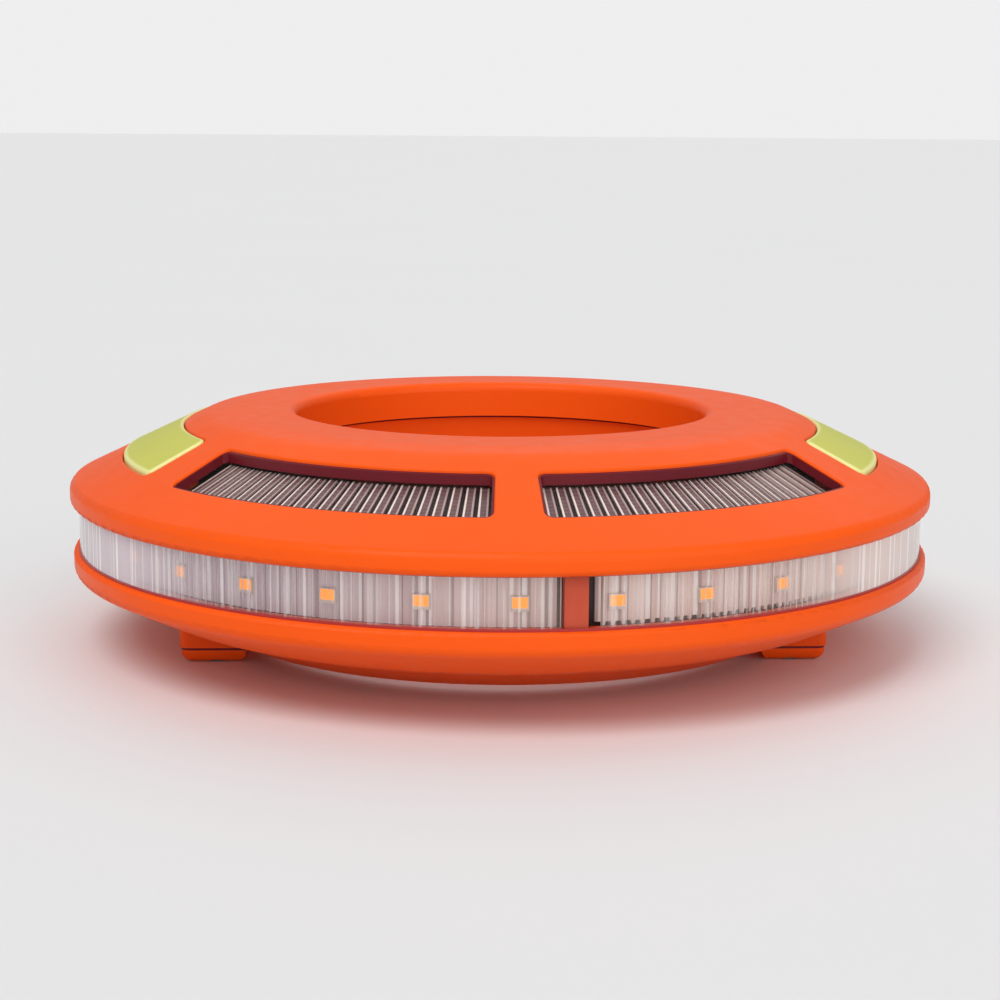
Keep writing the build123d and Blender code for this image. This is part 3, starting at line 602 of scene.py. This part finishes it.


# ---------------------------------------------------------------- solar windows
# Each window is a board of narrow silicon strips laid like the spokes of a wheel, with a tinned
# ribbon along both edges of every strip, under a flat clear cover bonded to the dark red frame.
# The ribbon on one edge of each strip is a darker copy of the other: painted shade.
STRIPS = 24
STRIP_SHARE = 0.68           # strip width as a share of its pitch
RIBBON_SHARE = 0.20          # ribbon width as a share of the strip
RIBBON_RISE = 0.12 * MM
COVER_TINT = (0.75, 0.66, 0.66, 1.0)
SILICON = (0.085, 0.028, 0.034)
SILICON_PALE = (0.16, 0.075, 0.080)
TIN_BRIGHT = (0.85, 0.66, 0.58)
# painted shade: the same tin, darker on one edge of each strip
TIN_PAINTED_SHADE = (0.42, 0.27, 0.25)
BOARD_DARK = (0.006, 0.001, 0.002)
BOARD_DULL = (0.020, 0.006, 0.008)
FINGERS = 0.62               # printed fingers per millimetre across each cell
FINGER_FROM = 0.86           # share of the pitch where a finger starts
FINGER_SHARE = 0.12          # how much it shows


def silicon():
    """Dark cell with fine silver fingers across it."""
    material, tree, shader = new_material("silicon_cell", Roughness=0.28, Metallic=0.15)
    position = add_node(tree, "ShaderNodeGroup", {"node_tree": ring_position}).outputs
    finger = math_node(tree, "FRACT", math_node(tree, "MULTIPLY", position["Radius"], FINGERS))
    finger = math_node(tree, "GREATER_THAN", finger, FINGER_FROM)
    place = add_node(tree, "ShaderNodeTexCoord").outputs["Object"]
    cloud = add_node(tree, "ShaderNodeTexNoise", Vector=place, Scale=350.0, Detail=3.0).outputs[0]
    body = mix_colour(tree, cloud, SILICON, SILICON_PALE)
    colour = mix_colour(tree, math_node(tree, "MULTIPLY", finger, FINGER_SHARE), body, TIN_BRIGHT)
    tree.links.new(colour, shader.inputs["Base Color"])
    return material


def tinned(name, colour, pale):
    """Tinned copper ribbon, slightly uneven."""
    material, tree, shader = new_material(name, Roughness=0.35, Metallic=0.35)
    place = add_node(tree, "ShaderNodeTexCoord").outputs["Object"]
    noise = add_node(tree, "ShaderNodeTexNoise", Vector=place, Scale=600.0, Detail=2.0).outputs[0]
    tree.links.new(mix_colour(tree, noise, colour, pale), shader.inputs["Base Color"])
    bump(tree, shader, noise, 0.00003)
    return material


def clear_cover():
    """Flat clear cover with a faint haze of dust."""
    material, tree, shader = new_material("clear_cover", Base_Color=COVER_TINT, Roughness=0.06, IOR=1.5)
    place = add_node(tree, "ShaderNodeTexCoord").outputs["Object"]
    haze = add_node(tree, "ShaderNodeTexNoise", Vector=place, Scale=90.0, Detail=4.0).outputs[0]
    veil = add_node(tree, "ShaderNodeMapRange", i0=haze, i3=0.0, i4=0.02)
    tree.links.new(veil.outputs[0], shader.inputs["Alpha"])
    return material


def top_at(name, radius):
    """Height of the top of a solid near a radius."""
    return max(v.co.z for v in nodes[name].data.vertices
               if abs(math.hypot(v.co.x, v.co.y) - radius) < 0.05 * MM)


silicon_cell = silicon()
ribbon_painted_lit = tinned("tinned_ribbon", TIN_BRIGHT, (0.94, 0.81, 0.74))
# painted shade: the darker copy of the tinned ribbon
ribbon_painted_shade = tinned("tinned_ribbon_painted_shade", TIN_PAINTED_SHADE, (0.56, 0.40, 0.37))
cell_cover = clear_cover()


def solar_board():
    """Black board with a dark red printed border round its strips."""
    material, tree, shader = new_material("solar_board", Roughness=0.45, Specular_IOR_Level=0.2)
    position = add_node(tree, "ShaderNodeGroup", {"node_tree": ring_position}).outputs
    inner, outer = (value / MM for value in radius_range("front_right_solar_cells"))
    below = math_node(tree, "LESS_THAN", position["Radius"], inner)
    above = math_node(tree, "GREATER_THAN", position["Radius"], outer)
    place = add_node(tree, "ShaderNodeTexCoord").outputs["Object"]
    cloud = add_node(tree, "ShaderNodeTexNoise", Vector=place, Scale=500.0, Detail=2.0).outputs[0]
    black = mix_colour(tree, cloud, BOARD_DARK, BOARD_DULL)
    red = mix_colour(tree, cloud, FRAME_RED, FRAME_RED_PALE)
    colour = mix_colour(tree, math_node(tree, "MAXIMUM", below, above), black, red)
    tree.links.new(colour, shader.inputs["Base Color"])
    return material


board_dark = solar_board()
for quarter in ("front_left", "front_right", "rear_left", "rear_right"):
    cells_name = quarter + "_solar_cells"
    inner, outer = radius_range(cells_name)
    first, last = azimuth_range(cells_name)
    strip_span = STRIP_SHARE * (last - first) / (STRIPS - 1 + STRIP_SHARE)
    pitch = (last - first - strip_span) / (STRIPS - 1)
    top = top_at(cells_name, inner)
    drop = top - top_at(cells_name, outer)
    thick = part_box(cells_name)[1].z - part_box(cells_name)[0].z - drop
    ribbon_span = strip_span * RIBBON_SHARE
    layers = (
        ("silicon", silicon_cell, ribbon_span, strip_span - 2 * ribbon_span, RIBBON_RISE),
        ("bright", ribbon_painted_lit, 0.0, ribbon_span, 0.0),
        # the dull layer is the ribbon in painted shade
        ("dull", ribbon_painted_shade, strip_span - ribbon_span, ribbon_span, 0.0),
    )
    parts = []
    for layer, material, shift, width, sink in layers:
        part = lathe(f"{quarter}_{layer}", (
            (inner, top - thick),
            (outer, top - drop - thick),
            (outer, top - drop - sink),
            (inner, top - sink),
        ), first + shift, width, 2)
        bpy.ops.mesh.select_all(action="SELECT")
        bpy.ops.mesh.spin(steps=STRIPS - 1, angle=math.radians(pitch * (STRIPS - 1)),
                          center=(0, 0, 0), axis=(0, 0, -1), dupli=True)
        parts.append(leave(part, material, 30.0))
    bpy.ops.object.select_all(action="DESELECT")
    for part in parts:
        part.select_set(True)
    bpy.context.view_layer.objects.active = parts[0]
    bpy.ops.object.join()
    parts[0].name = parts[0].data.name = quarter + "_cell_strips"
    settle(parts[0], "housing", "solar_cell", cells_name)
    finish_node(quarter + "_solar_panel", board_dark)
    finish_node(quarter + "_solar_window", cell_cover)


# ---------------------------------------------------------------- keys
# Two long keys in lime thermoplastic rubber over a stiff core, large enough for a gloved hand.
# A painted highlight makes the border of each key paler. Each slides down 1.5 mm on two stems.
LIME = (0.54, 0.55, 0.060)
LIME_PALE = (0.62, 0.62, 0.11)
LIME_PAINTED_HIGHLIGHT = (0.80, 0.78, 0.30)
KEY_HALF_WIDTH = 9.65        # millimetres, from the key's middle line to its edge
KEY_HALF_ARC = 26.8          # degrees, from its middle to its end
KEY_HIGHLIGHT_WIDTH = 1.5               # millimetres of painted highlight along the edge
KEY_HIGHLIGHT_PEAK = 0.6          # millimetres from the edge where the painted highlight is brightest


def lime_rubber():
    """Satin rubber with a painted highlight along the border of the key."""
    material = moulded("lime_rubber", LIME, LIME_PALE, 0.46, 0.8, 2600.0, 0.00005)
    tree = material.node_tree
    shader = tree.nodes["Principled BSDF"]
    position = add_node(tree, "ShaderNodeGroup", {"node_tree": ring_position}).outputs
    inner, outer = (value / MM for value in radius_range("right_button"))
    middle = (inner + outer) / 2
    first, last = azimuth_range("right_button")
    across = math_node(tree, "ABSOLUTE", math_node(tree, "SUBTRACT", position["Radius"], middle))
    along = math_node(tree, "ABSOLUTE", position["Azimuth"])
    along = math_node(tree, "ABSOLUTE", math_node(tree, "SUBTRACT", along, (first + last) / 2))
    along = math_node(tree, "MULTIPLY", along, math.radians(middle))
    near = []
    for distance, edge in ((across, KEY_HALF_WIDTH), (along, math.radians(KEY_HALF_ARC) * middle)):
        fade = add_node(tree, "ShaderNodeMapRange", i0=distance,
                        i1=edge - KEY_HIGHLIGHT_WIDTH, i2=edge - KEY_HIGHLIGHT_PEAK)
        near.append(fade.outputs[0])
    # painted highlight along the edge of the key
    border = math_node(tree, "MAXIMUM", *near)
    surface = shader.inputs["Base Color"].links[0].from_socket
    tree.links.new(mix_colour(tree, border, surface, LIME_PAINTED_HIGHLIGHT), shader.inputs["Base Color"])
    return material


key_rubber = lime_rubber()
for side in ("left", "right"):
    finish_node(side + "_button", key_rubber)


# ---------------------------------------------------------------- key springs
# Two stainless coil springs under each key, round its stems, from the switch board up to the
# collars, their feet on the board. In the light they shorten by the key's travel; here they stay at rest
# length.
SPRING_WIRE = 1.0 * MM
SPRING_TURNS = 5
SPRING_STEPS = 24            # to a turn
SPRING_SIDES = 8             # of the wire


def metal(name, colour, roughness, **values):
    """Plain metal with fine drawn or rolled marks."""
    material, tree, shader = new_material(name, Metallic=1.0, **values)
    place = add_node(tree, "ShaderNodeTexCoord").outputs["Object"]
    marks = add_node(tree, "ShaderNodeTexNoise", Vector=place, Scale=900.0, Detail=3.0).outputs[0]
    dull = tuple(0.7 * value for value in colour)
    tree.links.new(mix_colour(tree, marks, dull, colour), shader.inputs["Base Color"])
    rough = math_node(tree, "ADD", math_node(tree, "MULTIPLY", marks, 0.25), roughness - 0.12)
    tree.links.new(rough, shader.inputs["Roughness"])
    bump(tree, shader, marks, 0.00002)
    return material


def spring_place(name, front):
    """Foot of the front or rear spring of a pair, its height, and the radius of its coil."""
    points = [vertex.co for vertex in nodes[name].data.vertices if (vertex.co.y < 0) == front]
    low, high = (Vector(map(choose, *points)) for choose in (min, max))
    foot = Vector(((low.x + high.x) / 2, (low.y + high.y) / 2, low.z))
    return foot, high.z - low.z, (high.x - low.x - SPRING_WIRE) / 2


spring_wire = metal("spring_wire", (0.58, 0.57, 0.55), 0.3)
for side in ("left", "right"):
    node_name = side + "_button_springs"
    front_foot, height, coil_radius = spring_place(node_name, True)
    rear_foot = spring_place(node_name, False)[0]
    bpy.ops.object.select_all(action="DESELECT")
    bpy.ops.mesh.primitive_circle_add(vertices=SPRING_SIDES, radius=SPRING_WIRE / 2,
                                      location=(coil_radius, 0, 0), rotation=(math.radians(90), 0, 0))
    springs = bpy.context.object
    springs.name = springs.data.name = side + "_key_springs"
    bpy.ops.object.transform_apply(location=True, rotation=True, scale=True)
    coil = springs.modifiers.new("coil", "SCREW")
    coil.steps = coil.render_steps = SPRING_STEPS
    coil.iterations = SPRING_TURNS
    coil.screw_offset = (height - SPRING_WIRE) / SPRING_TURNS
    bpy.ops.object.modifier_apply(modifier="coil")
    bpy.ops.object.mode_set(mode="EDIT")
    bpy.ops.mesh.select_all(action="SELECT")
    bpy.ops.mesh.fill_holes(sides=SPRING_SIDES)
    bpy.ops.mesh.select_all(action="SELECT")
    bpy.ops.mesh.normals_make_consistent(inside=False)
    bpy.ops.transform.translate(value=front_foot + Vector((0, 0, SPRING_WIRE / 2)))
    bpy.ops.mesh.duplicate_move(TRANSFORM_OT_translate={"value": rear_foot - front_foot})
    leave(springs, spring_wire, 60.0)
    settle(springs, "housing", "spring_steel", node_name)
    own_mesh(springs)


# ---------------------------------------------------------------- switches, cells and electronics
# Inside: black tact switches on green boards, a green control board with its chips and ivory
# sockets, blue-sleeved cells with nickel contacts and red leads.
nickel = metal("nickel_strip", (0.66, 0.63, 0.57), 0.28)
zinc = metal("zinc_plate", (0.52, 0.52, 0.50), 0.36)
board_green = moulded("solder_mask", (0.010, 0.10, 0.035), (0.016, 0.15, 0.05), 0.32)
chip_black = moulded("black_epoxy", (0.012, 0.012, 0.012), (0.03, 0.03, 0.03), 0.5)
socket_ivory = moulded("ivory_nylon", (0.74, 0.70, 0.58), (0.82, 0.78, 0.68), 0.42)
sleeve_blue = moulded("blue_sleeve", (0.02, 0.10, 0.33), (0.03, 0.15, 0.42), 0.24)
lead_red = moulded("red_insulation", (0.42, 0.012, 0.010), (0.52, 0.03, 0.02), 0.42)
inner_finishes = {
    "switch_plunger": chip_black,
    "tact_switch": chip_black,
    "switch_board": board_green,
    "battery": sleeve_blue,
    "battery_contacts": nickel,
    "battery_lead": lead_red,
}
for side in ("left", "right"):
    for ending, material in inner_finishes.items():
        finish_node(f"{side}_{ending}", material)
finish_node("control_board", board_green)
finish_node("control_chips", chip_black)
finish_node("board_connectors", socket_ivory)


# ---------------------------------------------------------------- screws
# Zinc-plated pan-head screws with a cross slot, driven from below into the housings, the battery
# boxes and the posts that carry the boards.
for node_name in ("case_screws", "cover_screws", "board_screws"):
    finish_node(node_name, zinc)


# ---------------------------------------------------------------- floor, light and camera
# Pale matte floor that is clear from below, wide soft lights and a long-lens camera a little
# above the ring.
FLOOR = (0.76, 0.76, 0.765)
FLOOR_RADIUS = 40.0
FLOOR_GAP = 0.05 * MM
SKY_LIGHT = 0.42             # even light from all round
SKY_SEEN = 0.86              # how bright the far background looks
CAMERA_DISTANCE = 0.70       # level distance to the ring's axis
CAMERA_RISE = 0.122          # above the widest part of the ring
CAMERA_AZIMUTH = -2.5
CAMERA_ROLL = 0.4
CAMERA_LENS = 77.0


def soft_light(name, azimuth, elevation, spread, strength):
    """Wide soft light from a direction, the same all over the floor."""
    bpy.ops.object.light_add(type="SUN", location=ring_point(1.0, azimuth, 1.0))
    light = bpy.context.object
    light.name = name
    light.data.angle = math.radians(spread)
    light.data.energy = strength
    light.rotation_euler = (math.radians(90 - elevation), 0, math.radians(azimuth))


bpy.ops.object.select_all(action="DESELECT")
bpy.ops.mesh.primitive_circle_add(vertices=96, radius=FLOOR_RADIUS, fill_type="NGON",
                                  location=(0, 0, -FLOOR_GAP))
floor = bpy.context.object
floor.name = floor.data.name = "floor"
floor_paint, floor_tree, floor_shader = new_material("floor_paint", Roughness=0.7)
floor_place = add_node(floor_tree, "ShaderNodeTexCoord").outputs["Object"]
floor_noise = add_node(floor_tree, "ShaderNodeTexNoise", Vector=floor_place, Scale=3.0).outputs[0]
floor_colour = mix_colour(floor_tree, floor_noise, FLOOR, tuple(1.02 * value for value in FLOOR))
floor_tree.links.new(floor_colour, floor_shader.inputs["Base Color"])
seen_from_below = add_node(floor_tree, "ShaderNodeNewGeometry").outputs["Backfacing"]
floor_shown = math_node(floor_tree, "SUBTRACT", 1.0, seen_from_below)
floor_tree.links.new(floor_shown, floor_shader.inputs["Alpha"])
floor.data.materials.append(floor_paint)

world = bpy.data.worlds.new("studio")
world.use_nodes = True
sky_tree = world.node_tree
sky = sky_tree.nodes["Background"]
sky.inputs[0].default_value = (1.0, 1.0, 1.0, 1.0)
seen = add_node(sky_tree, "ShaderNodeLightPath").outputs["Is Camera Ray"]
brightness = add_node(sky_tree, "ShaderNodeMapRange", i0=seen, i3=SKY_LIGHT, i4=SKY_SEEN)
sky_tree.links.new(brightness.outputs[0], sky.inputs[1])
bpy.context.scene.world = world
bpy.context.scene.view_settings.view_transform = "Standard"
soft_light("key_light", -30.0, 55.0, 35.0, 1.45)
soft_light("fill_light", 25.0, 25.0, 60.0, 1.0)
soft_light("back_light", 170.0, 50.0, 60.0, 0.45)

rim_height = (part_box("top_housing")[0].z + top_at("top_housing", radius_range("top_housing")[1])) / 2
aim = Vector((0, 0, rim_height))
camera_data = bpy.data.cameras.new("camera")
camera_data.lens = CAMERA_LENS
camera = bpy.data.objects.new("camera", camera_data)
bpy.context.scene.collection.objects.link(camera)
camera.location = ring_point(CAMERA_DISTANCE, CAMERA_AZIMUTH, rim_height + CAMERA_RISE)
camera.rotation_euler = (aim - camera.location).to_track_quat("-Z", "Y").to_euler()
camera.rotation_euler.rotate_axis("Z", math.radians(CAMERA_ROLL))
bpy.context.scene.camera = camera
